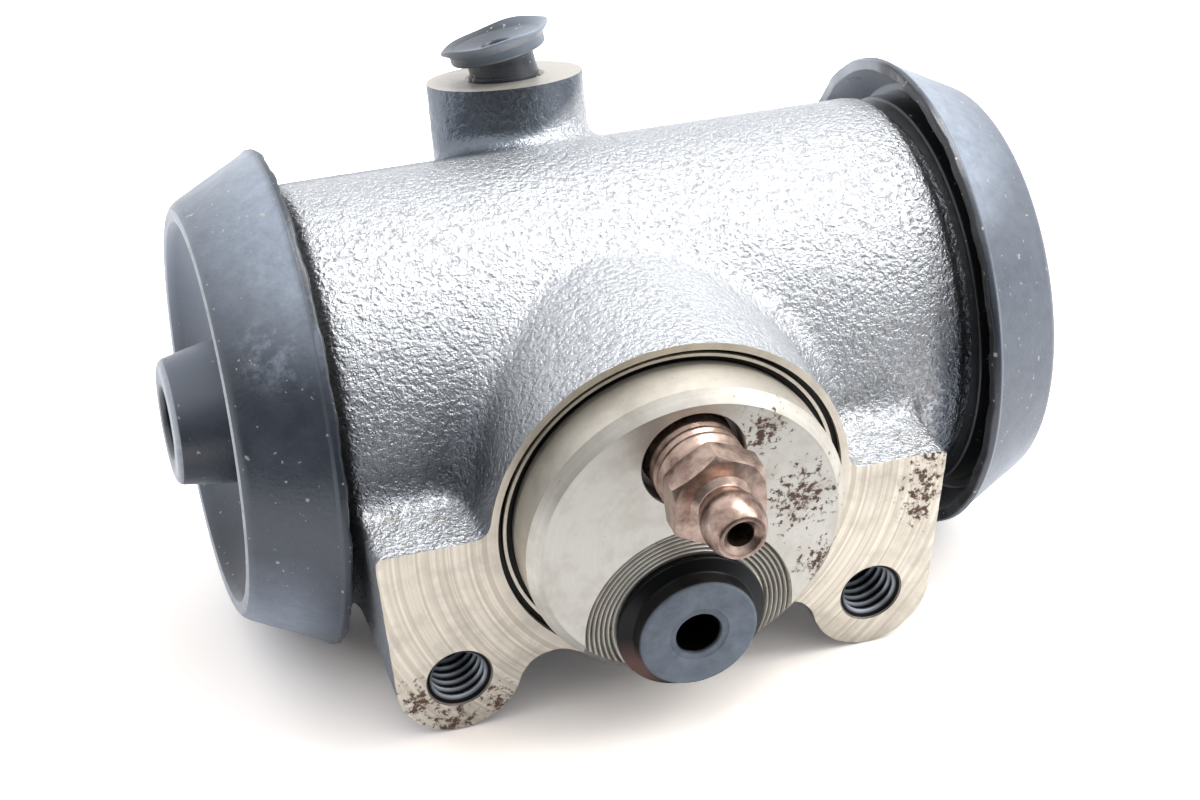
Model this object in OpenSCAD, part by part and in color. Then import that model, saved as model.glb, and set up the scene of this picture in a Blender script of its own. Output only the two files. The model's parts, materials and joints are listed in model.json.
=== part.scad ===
// Drum brake wheel cylinder: an iron casting with a turned pilot and two tapped ears,
// opposed pistons behind rubber boots, a bleeder screw, and plugs in its two line ports.
// Millimetres. The origin is on the pilot's axis, in the plane of the mounting face.
// X runs along the barrel, -Y points out of the mounting face, +Z is up.

/* [Barrel] */
// Diameter of the bore
bore_d = 41.3; // [36:0.1:48]
// Wall of the cast barrel around the bore
barrel_wall = 6.35; // [5:0.05:9]
// Cast barrel, from the pilot's axis to its left shoulder
barrel_left = 36.8; // [33:0.1:45]
// Cast barrel, from the pilot's axis to its right shoulder
barrel_right = 43.4; // [38:0.1:52]
// Rounding of the cast shoulders
shoulder_round = 1.2; // [0.4:0.1:2]
// Wall of the turned spigot that each boot grips
spigot_wall = 3.65; // [2.5:0.05:4.5]
// Length of each spigot beyond its shoulder
spigot_len = 6; // [4.5:0.1:8]

/* [Mounting face] */
// From the front of the barrel to the mounting face
face_standoff = 10.2; // [8:0.1:16]
// Diameter of the pilot that centres the cylinder
pilot_d = 39.9; // [34:0.1:42]
// How far the pilot stands out of the mounting face
pilot_h = 6.65; // [5:0.05:10]
// Chamfer on the pilot's rim
pilot_chamfer = 1.4; // [0.4:0.1:2]
// Width of the relief groove round the pilot
relief_w = 1.7; // [1:0.1:2.5]
// Depth of the relief groove
relief_depth = 1.2; // [0.5:0.1:2.5]
// Width of the machined land outside the groove
land_w = 1.15; // [0.8:0.05:2.5]
// Radius of the blend from the front boss into the barrel
boss_blend = 5; // [2:0.5:8]

/* [Ears] */
// Distance between the two tapped holes
bolt_spacing = 54; // [50:0.5:62]
// How far the holes lie below the pilot's axis
bolt_drop = 19.7; // [17:0.1:24]
// Minor diameter of the tapped holes
bolt_minor_d = 6.5; // [5:0.1:8]
// Diameter of the countersunk mouths
bolt_mouth_d = 8.4; // [8.2:0.1:10]
// Depth of the tapped holes
bolt_depth = 15; // [10:0.5:17]
// Radius of each ear round its hole
ear_r = 8; // [6.5:0.1:9.5]
// Height of the ears' top edge above the pilot's axis
ear_top = 0.5; // [-3:0.1:3]
// From the left hole's axis out to its ear's upper corner
left_reach = 9.8; // [8:0.1:12]
// From the right hole's axis out to its ear's upper corner
right_reach = 9; // [8:0.1:12]
// Depth of the ear's flat underside
ear_depth = 12; // [8:0.5:16]
// Fillet between an ear and the boss, below
ear_fillet = 4.5; // [3:0.1:8]
// Fillet between an ear's top and the boss
ear_top_fillet = 2; // [0.8:0.1:3]
// Fillet from an ear's top shelf up to the barrel
shelf_fillet = 3.5; // [1.5:0.1:5]

/* [Ports] */
// Height of the bleeder above the pilot's axis
bleeder_height = 11.1; // [10:0.1:12]
// How far the inlet lies below the pilot's axis
inlet_drop = 12; // [11:0.1:13]
// Minor diameter of the inlet's thread
inlet_d = 13; // [10:0.1:14]
// Depth of the inlet's threaded part
inlet_depth = 12; // [9.5:0.1:14]
// Outer diameter of the inlet's washer seat
seat_d = 26.4; // [22:0.1:30]
// Depth of the washer seat below the pilot's face
seat_depth = 0.3; // [0.2:0.05:0.8]
// Number of concentric grooves in the washer seat
seat_grooves = 6; // [2:1:8]
// Diameter of the drilled passages into the bore
passage_d = 4; // [3:0.1:5]

/* [Rear boss] */
// Diameter of the boss of the crossover port
rear_d = 21; // [18:0.1:24]
// Its axis along the barrel, from the pilot's axis
rear_x = -2.5; // [-8:0.1:8]
// How far its axis lies behind the bore's axis
rear_offset = 15; // [12:0.1:17]
// Backward tilt of its axis
rear_tilt = 17; // [8:0.5:22]
// Height of its machined top along that axis
rear_top = 29.9; // [27:0.1:36]
// Radius of its blend into the barrel
rear_blend = 2.5; // [1:0.1:4]
// Minor diameter of the crossover port's thread
cross_d = 9.8; // [8:0.1:11]
// Depth of the crossover port's threaded part
cross_depth = 12; // [9.5:0.1:14]

/* [Boots] */
// How far a boot's rim stands off the barrel's shoulder
rim_gap = 1.1; // [0.5:0.1:1.6]
// How far the skirt overhangs the barrel all round
skirt_overhang = 4.8; // [4:0.1:7]
// Thickness of the skirt
skirt_wall = 1.5; // [1:0.1:2]
// Width of the bead round the rim
bead_w = 1.1; // [0.6:0.1:2]
// Height of that bead
bead_h = 0.4; // [0.2:0.1:0.8]
// From the rim to the crest
boot_len = 11.7; // [10.5:0.1:14]
// Rounding of the crest
crest_round = 2.2; // [1.5:0.1:3]
// Thickness of the collar that grips the spigot
collar_wall = 2.2; // [1.6:0.1:2.6]
// Depth of the rounded recess inside the crest
recess_depth = 6.7; // [5.5:0.1:7.2]
// Thickness of the web under the recess
boot_web = 1.2; // [0.9:0.05:1.3]
// How far the nose stands past the crest
nose_out = 4.8; // [2:0.1:8]
// Diameter of the nose at its tip
nose_tip_d = 15.8; // [13:0.1:17]
// Diameter of the nose at its root
nose_root_d = 19; // [17:0.1:20]
// Diameter of the hole for the push rod
rod_hole_d = 9; // [7:0.1:11]

/* [Pistons and cups] */
// Radial clearance of the pistons and cups in the bore
piston_clearance = 0.05; // [0.02:0.01:0.1]
// Length of a piston
piston_len = 18; // [15:0.5:20]
// Diameter of the push rod's socket in a piston
socket_d = 10.4; // [8:0.1:13]
// Depth of that socket
socket_depth = 9; // [6:0.5:12]
// Length of a cup along the bore
cup_len = 8; // [6:0.1:9]
// Thickness of a cup's base
cup_base = 3.2; // [2.5:0.1:4]
// Thickness of the pressed steel expanders
expander_wall = 0.8; // [0.6:0.1:1.2]

/* [Return spring] */
// Mean diameter of the coil
spring_d = 19; // [16:0.5:22]
// Diameter of the wire
wire_d = 1.8; // [1.2:0.1:2.4]
// Number of turns
spring_turns = 6.5; // [4:0.5:8]

/* [Bleeder screw] */
// Outer diameter of the thread
bleeder_d = 11.1; // [9:0.1:11.4]
// Length of thread below the pilot's face
bleeder_depth = 14.5; // [11:0.1:15]
// Height of the hexagon's underside above the pilot's face
hex_base = 5; // [3:0.1:7]
// Size of the hexagon across its flats
hex_flats = 11; // [9:0.1:12]
// Height of the hexagon
hex_h = 3.8; // [3:0.1:6]
// Turn of the hexagon about the screw's axis
hex_turn = 35; // [0:1:59]
// Diameter of the nipple's bulb
bulb_d = 7.5; // [6.5:0.1:8.5]
// From the hexagon's top to the nipple's tip
nipple_len = 6.9; // [6:0.1:9]
// Diameter of the mouth in the nipple's tip
tip_mouth_d = 4.6; // [3.8:0.1:5]
// Diameter of the drilled bleed passage
bleed_d = 3.2; // [2:0.1:3.6]

/* [Plugs] */
// Diameter of the inlet plug's flange
plug_flange_d = 18.8; // [16:0.1:20]
// Diameter of the inlet plug's outer face
plug_face_d = 14.8; // [12:0.1:15.5]
// Height of the inlet plug above the washer seat
plug_h = 3.7; // [2.5:0.1:6]
// Thickness of the inlet plug's flange
plug_flange_h = 1.1; // [0.6:0.1:1.6]
// Diameter of the hole in the inlet plug
plug_hole_d = 5.5; // [3:0.1:7]
// Radial clearance of both plugs in their ports
plug_clearance = 0.2; // [0.1:0.05:0.3]
// Length of both plugs' stems in their ports
plug_stem = 8; // [6:0.1:9]
// Height of the crossover plug's neck above the boss
neck_h = 2.3; // [1.5:0.1:4]
// Diameter of the crossover plug's head
head_d = 12.8; // [11:0.1:15]
// Thickness of the crossover plug's head
head_h = 1.9; // [1.2:0.1:3]
// How far its thin lip flares past the head
lip_flare = 1; // [0.5:0.1:1.6]
// Height of that lip
lip_h = 1.1; // [0.6:0.1:1.6]
// Thickness of that lip
lip_wall = 0.5; // [0.4:0.05:0.8]
// Sideways lean of the crossover plug's head
head_lean = 10; // [0:0.5:14]

/* [Hidden] */
$fn = 96;
LEFT = -1;
RIGHT = 1;
cut = 0.5;                 // how far cutters run past the faces they open
bury = 1;                  // how far added stock runs into the solid behind it
tuck = 0.05;               // how far a fillet's arc dips into the faces it joins
hair = 0.01;               // keeps a cutter's edge off the face it meets
drill_point = 0.6;         // depth of a drill's point for each millimetre of radius

// Barrel and bore
bore_r = bore_d / 2;
barrel_r = bore_r + barrel_wall;
spigot_r = bore_r + spigot_wall;
axis_depth = barrel_r + face_standoff;
bore_mid = (barrel_right - barrel_left) / 2;
shoulder = (barrel_right + barrel_left) / 2;
bore_half = shoulder + spigot_len;
end_chamfer = 0.8;
boot_groove_w = 1.4;
boot_groove_d = 0.6;
boot_groove_at = 0.6;          // along the spigot
boot_groove_mid = shoulder + spigot_len * boot_groove_at;

// Mounting face
pilot_r = pilot_d / 2;
boss_r = pilot_r + relief_w + land_w;
relief_undercut = 0.15;
ear_x = bolt_spacing / 2;
shelf_inset = 0.4;

// Boot, measured along its axis from the middle of the bore
rim_r = barrel_r + skirt_overhang;
rim_z = shoulder + rim_gap;
crest_z = rim_z + boot_len;
grip_play = 0.05;
collar_r = spigot_r + grip_play;
crest_inset = 0.6;
crest_r = spigot_r + crest_inset;
recess_lift = 1.9;
recess_r = recess_depth + recess_lift;
recess_inset = 0.8;
recess_edge_r = crest_r - recess_inset;
recess_mid_r = recess_edge_r - sqrt(recess_r * recess_r - recess_lift * recess_lift);
recess_mid_z = crest_z + recess_lift;
floor_z = crest_z - recess_depth - boot_web;
nose_tip_z = crest_z + nose_out;
collar_inset = 0.6;
collar_z = rim_z + collar_inset;
end_overlap = 0.1;
hollow_z = bore_half - end_overlap;
bowl_play = 0.4;

// Stack of the inner pieces, measured from the middle of the bore
piston_r = bore_r - piston_clearance;
seat_play = 0.3;
piston_face_z = floor_z - seat_play;
cup_z = piston_face_z - piston_len;
expander_z = cup_z - cup_base;
spring_seat_z = expander_z - expander_wall;
spring_play = 0.05;
spring_r = spring_d / 2;

// Ports
bleeder_r = bleeder_d / 2;
bleeder_clearance = 0.1;
bleeder_port_r = bleeder_r + bleeder_clearance;
bleeder_mouth_gap = 0.6;
bleeder_mouth_r = bleeder_port_r + bleeder_mouth_gap;
bleeder_mouth_h = 2.6;
bleeder_sink = 1.2;
bleeder_seat_gap = 1.1;
bleeder_seat_z = bleeder_depth + bleeder_seat_gap;
passage_r = passage_d / 2;
bore_reach = axis_depth + pilot_h;
inlet_r = inlet_d / 2;
seat_margin = 0.2;
groove_slope = 0.9;
groove_share = 0.9;
cross_r = cross_d / 2;
rear_r = rear_d / 2;

// A direction out of the pilot's face, with z measured from that face
module out_of_pilot(height) {
    translate([0, -pilot_h, height]) rotate([90, 0, 0]) children();
}

// A direction into the mounting face, with z measured from that face
module into_face() {
    rotate([-90, 0, 0]) children();
}

// The bore's own axis, with z running outwards from its middle to one side
module outwards(side) {
    translate([bore_mid, axis_depth, 0]) rotate([0, side * 90, 0]) children();
}

// The tilted axis of the crossover port, with z measured from the height of the bore
module on_rear_axis() {
    translate([rear_x, axis_depth + rear_offset, 0]) rotate([-rear_tilt, 0, 0]) children();
}

// A cylinder drawn from one height to another
module rod(r, from, to) {
    translate([0, 0, from]) cylinder(r = r, h = to - from);
}

// A cone drawn from one height to another
module taper(r1, r2, from, to) {
    translate([0, 0, from]) cylinder(r1 = r1, r2 = r2, h = to - from);
}

// Blends between a round boss and the barrel, as a ball rolled round the corner leaves them.
// The ball's centre is found where it touches both; the arc runs from one touch to the other.
BLEND_STEPS = 48;
BLEND_ARC = 5;
BLEND_SINK = 0.1;
BLEND_BACK = 1.55;

function unit(v) = v / norm(v);
function about_bore(p) = [0, p.y - axis_depth, p.z];
function ball_centre(foot, dir, r, ball, angle) =
    let (across = [0, dir.z, -dir.y])
    let (side = foot + (r + ball - BLEND_SINK) * (cos(angle) * [1, 0, 0] + sin(angle) * across))
    let (q = about_bore(side))
    let (along = q * dir)
    let (reach = barrel_r + ball - BLEND_SINK)
    side + dir * (sqrt(max(along * along - q * q + reach * reach, 0.01)) - along);
function to_boss(foot, dir, centre) =
    let (v = centre - foot)
    -unit(v - dir * (v * dir));
function to_bore(centre) = -unit(about_bore(centre));
function arc_between(a, b, t) =
    let (turn = acos(a * b))
    (a * sin((1 - t) * turn) + b * sin(t * turn)) / sin(turn);
function blend_section(foot, dir, r, ball, angle) =
    let (centre = ball_centre(foot, dir, r, ball, angle))
    let (a = to_boss(foot, dir, centre))
    let (b = to_bore(centre))
    concat([for (i = [0:BLEND_ARC]) centre + ball * arc_between(a, b, i / BLEND_ARC)],
        [centre + BLEND_BACK * ball * unit(a + b)]);

module blend_ring(foot, dir, r, ball) {
    ring = BLEND_ARC + 2;
    points = [for (i = [0:BLEND_STEPS - 1])
        each blend_section(foot, dir, r, ball, i * 360 / BLEND_STEPS)];
    faces = [for (i = [0:BLEND_STEPS - 1], j = [0:ring - 1])
        let (a = i * ring + j, b = i * ring + (j + 1) % ring)
        let (c = ((i + 1) % BLEND_STEPS) * ring + j)
        let (d = ((i + 1) % BLEND_STEPS) * ring + (j + 1) % ring)
        each [[a, d, b], [a, c, d]]];
    polyhedron(points, faces);
}

// Cast barrel with rounded shoulders and the two turned spigots
module barrel_half_outline() {
    difference() {
        union() {
            square([barrel_r, shoulder]);
            polygon([[0, 0], [spigot_r, 0], [spigot_r, bore_half - end_chamfer],
                [spigot_r - end_chamfer, bore_half], [0, bore_half]]);
        }
        translate([spigot_r - boot_groove_d, boot_groove_mid - boot_groove_w / 2])
            square([boot_groove_d + cut, boot_groove_w]);
        difference() {
            translate([barrel_r - shoulder_round, shoulder - shoulder_round])
                square(shoulder_round + cut);
            translate([barrel_r - shoulder_round, shoulder - shoulder_round])
                circle(shoulder_round);
        }
    }
}

module barrel_casting() {
    for (side = [LEFT, RIGHT]) outwards(side) rotate_extrude() barrel_half_outline();
}

// Front boss: a plain round stem behind the mounting face
module front_boss() {
    into_face() rod(boss_r, 0, axis_depth);
    blend_ring([0, axis_depth, 0], [0, -1, 0], boss_r, boss_blend);
}

// Outline of one ear in the mounting face, beside the boss
function ear_tangent(reach) =
    let (v = [reach, ear_top + bolt_drop])
    let (r = ear_r - tuck)
    let (turn = atan2(v.y, v.x) - acos(r / norm(v)))
    [ear_x + r * cos(turn), -bolt_drop + r * sin(turn)];
function lower_fillet_centre() =
    let (span = norm([ear_x, bolt_drop]))
    let (a = boss_r + ear_fillet - tuck, b = ear_r + ear_fillet - tuck)
    let (along = (a * a - b * b + span * span) / (2 * span))
    let (off = sqrt(max(a * a - along * along, 0.01)))
    along * [ear_x, -bolt_drop] / span - off * [bolt_drop, ear_x] / span;

module ear_outline(reach) {
    hole = [ear_x, -bolt_drop];
    lower = lower_fillet_centre();
    upper_z = ear_top + ear_top_fillet - tuck;
    upper_r = boss_r + ear_top_fillet - tuck;
    upper = [sqrt(upper_r * upper_r - upper_z * upper_z), upper_z];
    translate(hole) circle(ear_r);
    polygon([[0, ear_top], [0, 0], hole, ear_tangent(reach), [ear_x + reach, ear_top]]);
    difference() {
        polygon([[0, ear_top - bury], [ear_x, ear_top - bury], hole, lower]);
        translate(lower) circle(ear_fillet);
    }
    difference() {
        polygon([[0, 0], [upper.x, ear_top - bury], upper]);
        translate(upper) circle(ear_top_fillet);
    }
}

// Side view of the ears: flat underside, then a slope that runs out on the barrel
RUN_OUT_TURN = 27;
RUN_OUT_SINK = 0.3;

module ear_side() {
    low = -bolt_drop - ear_r;
    run_out = axis_depth - barrel_r * sin(RUN_OUT_TURN);
    run_out_z = -barrel_r * cos(RUN_OUT_TURN) + RUN_OUT_SINK;
    polygon([[0, axis_depth], [0, low], [ear_depth, low], [run_out, run_out_z],
        [axis_depth, run_out_z], [axis_depth, axis_depth]]);
}

module shelf_outline() {
    z = ear_top + shelf_fillet - tuck;
    reach = barrel_r + shelf_fillet - tuck;
    y = axis_depth - sqrt(reach * reach - z * z);
    touch = [axis_depth - (axis_depth - y) * barrel_r / reach, z * barrel_r / reach];
    difference() {
        polygon([[y, z], [y, ear_top - bury], [face_standoff + bury, ear_top - bury],
            [touch.x + bury, touch.y], touch]);
        translate([y, z]) circle(shelf_fillet);
    }
}

module ear(reach) {
    intersection() {
        into_face() mirror([0, 1, 0]) linear_extrude(axis_depth) ear_outline(reach);
        rotate([90, 0, 90]) linear_extrude(ear_x + reach + bury) ear_side();
    }
    translate([ear_x - ear_r, 0, 0]) rotate([90, 0, 90])
        linear_extrude(reach + ear_r - shelf_inset) shelf_outline();
}

// Pilot turned on the boss, with its chamfered rim
module pilot() {
    out_of_pilot(0) {
        rod(pilot_r, -pilot_h - bury, -pilot_chamfer);
        taper(pilot_r, pilot_r - pilot_chamfer, -pilot_chamfer, 0);
    }
}

// Relief groove, cut a little under the pilot so that the pilot's wall ends at the face
module relief_groove() {
    into_face() difference() {
        rod(pilot_r + relief_w, -cut, relief_depth);
        rod(pilot_r, -2 * cut, 0);
        rod(pilot_r - relief_undercut, -cut, relief_depth + cut);
    }
}

module rear_boss() {
    on_rear_axis() rod(rear_r, 0, rear_top);
    blend_ring([rear_x, axis_depth + rear_offset, 0], [0, sin(rear_tilt), cos(rear_tilt)],
        rear_r, rear_blend);
}

module bore() {
    for (side = [LEFT, RIGHT]) outwards(side) {
        rod(bore_r, -cut, bore_half + cut);
        taper(bore_r, bore_r + end_chamfer, bore_half - end_chamfer, bore_half + hair);
    }
}

module tapped_hole() {
    minor_r = bolt_minor_d / 2;
    mouth_r = bolt_mouth_d / 2;
    sink = mouth_r - minor_r;
    translate([ear_x, 0, -bolt_drop]) into_face() {
        rod(minor_r, -cut, bolt_depth);
        taper(minor_r, hair, bolt_depth, bolt_depth + minor_r * drill_point);
        taper(mouth_r + cut, minor_r, -cut, sink);
    }
}

// Bleeder port: countersunk mouth, thread, conical seat and a passage to the bore
module bleeder_port() {
    out_of_pilot(bleeder_height) {
        taper(bleeder_mouth_r, bleeder_mouth_r + bleeder_sink + cut, -bleeder_sink, cut);
        rod(bleeder_mouth_r, -bleeder_mouth_h, cut);
        rod(bleeder_port_r, -bleeder_seat_z, cut);
        taper(bleed_d / 2, bleeder_port_r,
            -bleeder_seat_z - bleeder_port_r + bleed_d / 2, -bleeder_seat_z);
        rod(bleed_d / 2, -bore_reach, -bleeder_seat_z);
    }
}

// Inlet port: a grooved washer seat, thread and a passage to the bore
module inlet_port() {
    land_r = plug_flange_d / 2 + seat_margin;
    groove_w = (seat_d / 2 - land_r) / seat_grooves;
    groove_depth = groove_w * groove_slope / 2;
    out_of_pilot(-inlet_drop) {
        rod(seat_d / 2, -seat_depth, cut);
        for (i = [0:seat_grooves - 1]) rotate_extrude()
            polygon([[land_r + i * groove_w, -seat_depth + hair],
                [land_r + (i + groove_share / 2) * groove_w, -seat_depth - groove_depth],
                [land_r + (i + groove_share) * groove_w, -seat_depth + hair]]);
        rod(inlet_r, -inlet_depth, cut);
        taper(passage_r, inlet_r, -inlet_depth - inlet_r * drill_point, -inlet_depth);
        rod(passage_r, -bore_reach, -inlet_depth);
    }
}

module crossover_port() {
    on_rear_axis() {
        rod(cross_r, rear_top - cross_depth, rear_top + cut);
        taper(passage_r, cross_r, rear_top - cross_depth - cross_r * drill_point,
            rear_top - cross_depth);
        rod(passage_r, 0, rear_top - cross_depth);
    }
}

module cylinder_body() {
    color("#8f9397") difference() {
        union() {
            barrel_casting();
            front_boss();
            ear(right_reach);
            mirror([1, 0, 0]) ear(left_reach);
            pilot();
            rear_boss();
        }
        bore();
        relief_groove();
        tapped_hole();
        mirror([1, 0, 0]) tapped_hole();
        bleeder_port();
        inlet_port();
        crossover_port();
    }
}

// Piston: turned aluminium with a socket for the push rod in its outer face
module piston() {
    rod_r = socket_d / 2;
    flare = 1.6;
    edge = 0.8;
    corner = rod_r * 0.5;
    top = piston_face_z;
    low = cup_z;
    rotate_extrude() polygon([[0, low], [piston_r - edge, low], [piston_r, low + edge],
        [piston_r, top - edge], [piston_r - edge, top], [rod_r + flare, top],
        [rod_r, top - flare], [rod_r, top - socket_depth + corner],
        [rod_r - corner, top - socket_depth], [0, top - socket_depth]]);
}

module left_piston() {
    color("#c4c0b6") outwards(LEFT) piston();
}

module right_piston() {
    color("#c4c0b6") outwards(RIGHT) piston();
}

// Cup: rubber seal with its heel on the piston and its lip towards the fluid
module cup() {
    heel = 0.8;
    lip = 1.2;
    wall = 3.8;
    rotate_extrude() polygon([[0, cup_z], [piston_r - 2 * heel, cup_z],
        [piston_r - heel / 2, cup_z - heel], [piston_r, cup_z - cup_len],
        [piston_r - lip, cup_z - cup_len], [piston_r - wall, cup_z - cup_base],
        [0, cup_z - cup_base]]);
}

module left_cup() {
    color("#242528") outwards(LEFT) cup();
}

module right_cup() {
    color("#242528") outwards(RIGHT) cup();
}

// Expander: a pressed dish that holds the cup's lip out and centres the spring
module expander() {
    lip_play = 0.4;
    rim_h = cup_len - cup_base - lip_play;
    dish_r = piston_r - cup_base - 2 * expander_wall;
    lip_room = 2.2;
    rim_outer = piston_r - lip_room;
    hub_play = 0.8;
    hub_r = spring_r - wire_d / 2 - hub_play;
    hub_h = 2.4;
    back = expander_z;
    front = back - expander_wall;
    rotate_extrude() polygon([[0, back], [dish_r, back], [rim_outer, back - rim_h],
        [rim_outer - expander_wall, back - rim_h], [dish_r - expander_wall, front],
        [hub_r, front], [hub_r, front - hub_h], [0, front - hub_h]]);
}

module left_cup_expander() {
    color("#b3ad94") outwards(LEFT) expander();
}

module right_cup_expander() {
    color("#b3ad94") outwards(RIGHT) expander();
}

// Return spring: a round wire wound in a helix between the two expanders
WIRE_SIDES = 8;
TURN_STEPS = 18;

function coil_point(angle, half) =
    let (z = half * (2 * angle / (360 * spring_turns) - 1))
    [spring_r * cos(angle), spring_r * sin(angle), z];
function wire_point(angle, half, i) =
    let (turn = i * 360 / WIRE_SIDES, r = wire_d / 2)
    coil_point(angle, half) + [r * cos(turn) * cos(angle), r * cos(turn) * sin(angle), r * sin(turn)];

module helix(half) {
    steps = floor(spring_turns * TURN_STEPS);
    points = [for (s = [0:steps], i = [0:WIRE_SIDES - 1])
        wire_point(s * 360 * spring_turns / steps, half, i)];
    sides = [for (s = [0:steps - 1], i = [0:WIRE_SIDES - 1])
        let (a = s * WIRE_SIDES + i, b = s * WIRE_SIDES + (i + 1) % WIRE_SIDES)
        each [[a, a + WIRE_SIDES, b + WIRE_SIDES], [a, b + WIRE_SIDES, b]]];
    first = [for (i = [0:WIRE_SIDES - 1]) i];
    last = [for (i = [WIRE_SIDES - 1:-1:0]) steps * WIRE_SIDES + i];
    polyhedron(points, concat(sides, [first, last]));
}

module return_spring() {
    color("#85888c") outwards(RIGHT) helix(spring_seat_z - wire_d / 2 - spring_play);
}

// Boot: moulded rubber with a flared skirt, a collar on the spigot, a rounded recess
// and a thick tubular nose that the push rod passes through
module boot_crown() {
    edge_z = crest_z - crest_round;
    polygon([[0, rim_z], [rim_r, rim_z], [rim_r, rim_z + bead_w],
        [rim_r - bead_h, rim_z + bead_w + bead_h], [crest_r + crest_round, edge_z],
        [crest_r, edge_z], [crest_r, crest_z], [0, crest_z]]);
    translate([crest_r, edge_z]) circle(crest_round);
}

module boot_underside() {
    hollow_r = collar_r + collar_wall;
    taper_in = (rim_r - crest_r - crest_round) / (boot_len - crest_round) * (hollow_z - rim_z);
    translate([0, rim_z - cut]) square([collar_r, bore_half - rim_z + cut]);
    translate([0, rim_z - cut]) square([hollow_r, collar_z - rim_z + cut]);
    polygon([[hollow_r - cut, rim_z - cut], [rim_r - skirt_wall, rim_z - cut],
        [rim_r - skirt_wall, rim_z], [rim_r - skirt_wall - taper_in, hollow_z],
        [hollow_r, hollow_z], [hollow_r, collar_z]]);
}

module boot_bowl() {
    intersection() {
        translate([recess_mid_r, recess_mid_z]) circle(recess_r + boot_web);
        translate([0, floor_z]) square([bore_r - bowl_play, bore_half + bury - floor_z]);
    }
    translate([0, floor_z]) square([recess_mid_r, boot_web]);
}

module boot_nose() {
    root_z = crest_z - recess_depth / 2;
    polygon([[0, floor_z], [nose_root_d / 2, floor_z], [nose_root_d / 2, root_z],
        [nose_tip_d / 2, nose_tip_z], [0, nose_tip_z]]);
}

module boot() {
    bead_play = 0.1;
    rotate_extrude() difference() {
        union() {
            difference() {
                union() {
                    difference() {
                        boot_crown();
                        boot_underside();
                    }
                    boot_bowl();
                }
                translate([recess_mid_r, recess_mid_z]) circle(recess_r);
            }
            boot_nose();
            translate([spigot_r - boot_groove_d + bead_play,
                boot_groove_mid - boot_groove_w / 2 + bead_play])
                square([boot_groove_d + collar_wall / 2, boot_groove_w - 2 * bead_play]);
        }
        translate([0, floor_z - cut]) square([rod_hole_d / 2, nose_tip_z - floor_z + 2 * cut]);
    }
}

module left_boot() {
    color("#2b2d32") outwards(LEFT) boot();
}

module right_boot() {
    color("#2b2d32") outwards(RIGHT) boot();
}

// Bleeder screw: thread with a conical seat, hexagon and a nipple for a hose
module bleeder_outline() {
    neck_r = 2.9;
    neck_flare = 0.8;
    waist = 1.4;
    thread_end = 0.6;
    thread_step = 1;
    nose_r = bleeder_r - thread_step;
    seat_gap = 0.15;
    nose_end_r = bleed_d / 2 - 2 * seat_gap;
    hex_top = hex_base + hex_h;
    tip = hex_top + nipple_len;
    cone_line = bleeder_port_r + bleeder_seat_z - seat_gap;
    bulb_round = 5;
    bulb_at = 0.42;
    polygon([[0, nose_end_r - cone_line], [nose_end_r, nose_end_r - cone_line],
        [nose_r, nose_r - cone_line], [nose_r, -bleeder_depth + thread_end - thread_step],
        [bleeder_r, -bleeder_depth + thread_end], [bleeder_r, hex_base - thread_end],
        [bleeder_r - thread_end, hex_base], [bleeder_r - thread_end, hex_base + hex_h / 2],
        [0, hex_base + hex_h / 2]]);
    polygon([[0, hex_base], [neck_r + neck_flare, hex_base], [neck_r + neck_flare, hex_top],
        [neck_r, hex_top + neck_flare], [neck_r, tip - waist], [0, tip - waist]]);
    intersection() {
        translate([bulb_d / 2 - bulb_round, tip - nipple_len * bulb_at]) circle(bulb_round);
        translate([0, hex_top + waist]) square([bulb_d, nipple_len - waist]);
    }
}

module hexagon() {
    corner_r = hex_flats / 2 / cos(30);
    bevel = 0.7;
    intersection() {
        translate([0, 0, hex_base]) rotate(hex_turn) cylinder(r = corner_r, h = hex_h, $fn = 6);
        rotate_extrude() polygon([[0, hex_base], [corner_r - bevel, hex_base],
            [corner_r, hex_base + bevel / 2], [corner_r, hex_base + hex_h - bevel / 2],
            [corner_r - bevel, hex_base + hex_h], [0, hex_base + hex_h]]);
    }
}

module bleeder_screw() {
    tip = hex_base + hex_h + nipple_len;
    mouth_r = tip_mouth_d / 2;
    bleed_r = bleed_d / 2;
    side_hole_r = 0.6;
    side_hole_drop = 0.9;
    side_hole_z = -bleeder_depth - side_hole_drop;
    color("#a0755e") out_of_pilot(bleeder_height) difference() {
        union() {
            rotate_extrude() bleeder_outline();
            hexagon();
        }
        rod(bleed_r, side_hole_z, tip + cut);
        taper(bleed_r, mouth_r + cut, tip - (mouth_r - bleed_r), tip + cut);
        translate([0, 0, side_hole_z]) rotate([90, 0, 0])
            cylinder(r = side_hole_r, h = 2 * bleeder_r, center = true);
    }
}

// Inlet plug: a moulded push-in plug, flanged on the washer seat
module inlet_plug() {
    stem_r = inlet_r - plug_clearance;
    lead = 0.8;
    flange_r = plug_flange_d / 2;
    face_r = plug_face_d / 2;
    edge = 0.3;
    step = 0.6;
    hole_share = 0.7;
    base = -seat_depth;
    color("#2e3238") out_of_pilot(-inlet_drop) difference() {
        rotate_extrude() polygon([[0, base - plug_stem], [stem_r - lead, base - plug_stem],
            [stem_r, base - plug_stem + lead], [stem_r, base], [flange_r - edge, base],
            [flange_r, base + edge], [flange_r, base + plug_flange_h - edge],
            [flange_r - edge, base + plug_flange_h], [face_r + step, base + plug_flange_h + step],
            [face_r, base + plug_h - edge], [face_r - edge, base + plug_h], [0, base + plug_h]]);
        rod(plug_hole_d / 2, base - plug_stem * hole_share, base + plug_h + cut);
    }
}

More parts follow.
